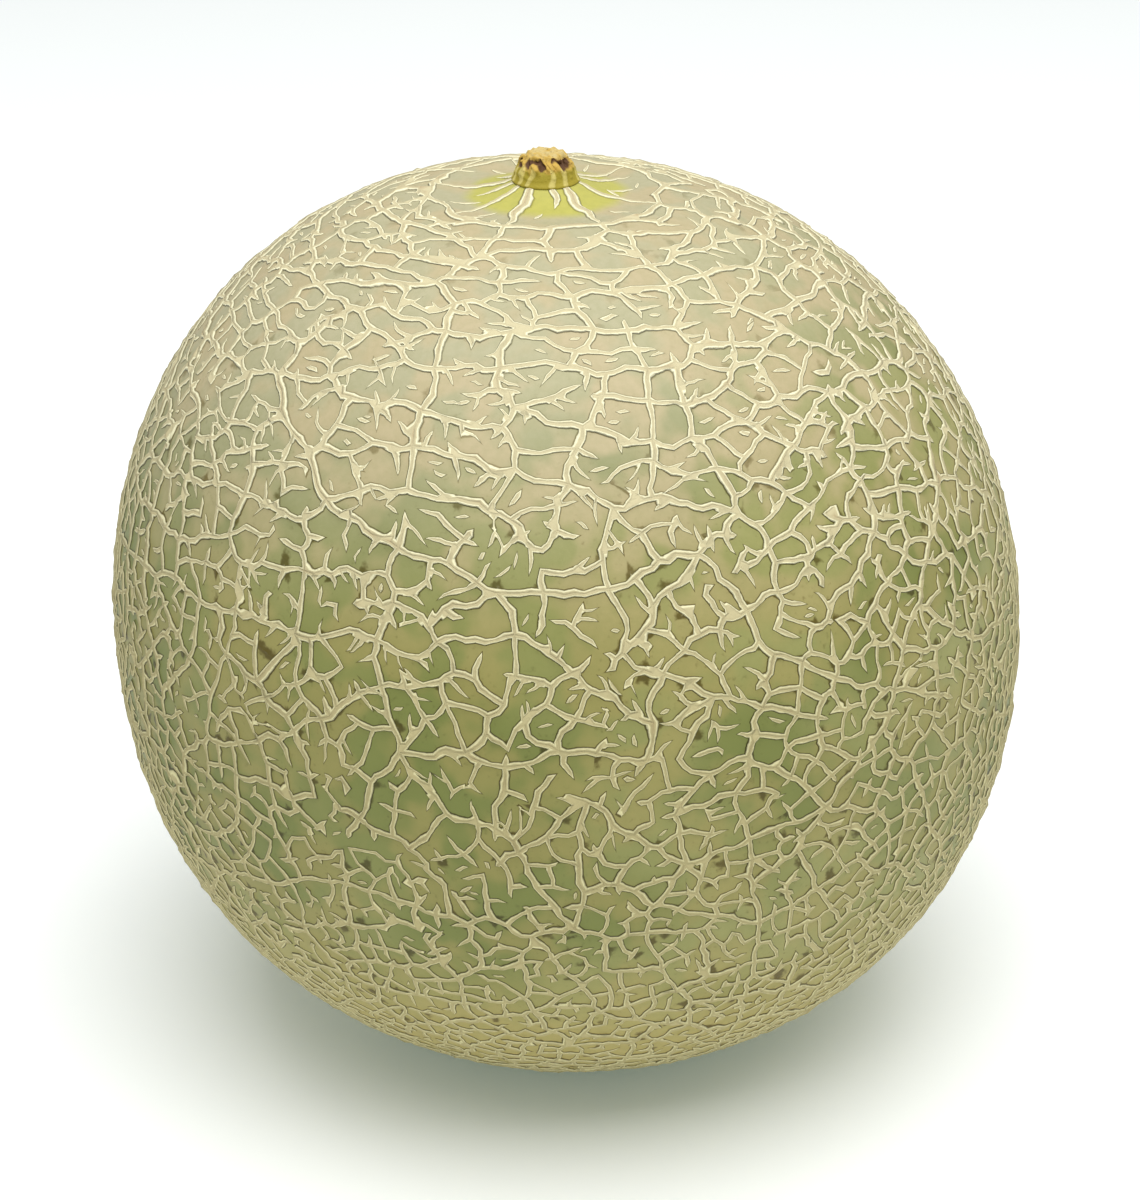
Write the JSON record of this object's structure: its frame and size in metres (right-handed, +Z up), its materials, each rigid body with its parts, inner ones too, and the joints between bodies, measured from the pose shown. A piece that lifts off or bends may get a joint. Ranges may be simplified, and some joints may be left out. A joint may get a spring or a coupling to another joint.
{
  "type": "netted cantaloupe melon",
  "caption": "Round ripe cantaloupe melon with a raised corky net, a ribbed cone round a short dried stem stub, and a small flat spot to rest on.",
  "frame": {"origin": "on the resting plane, under the middle of the melon's bounding box", "axes": "+Z up along the stem axis, -Y towards the side that shows in the picture, +X to that view's right"},
  "size_m": [0.1516, 0.1514, 0.1524],
  "materials": {
    "rind": "matt green-grey skin under a raised net of cream cork",
    "stem": "dry, fibrous, golden brown"
  },
  "bodies": {
    "root": {"melon": "rind", "stem_stub": "stem"}
  },
  "joints": []
}
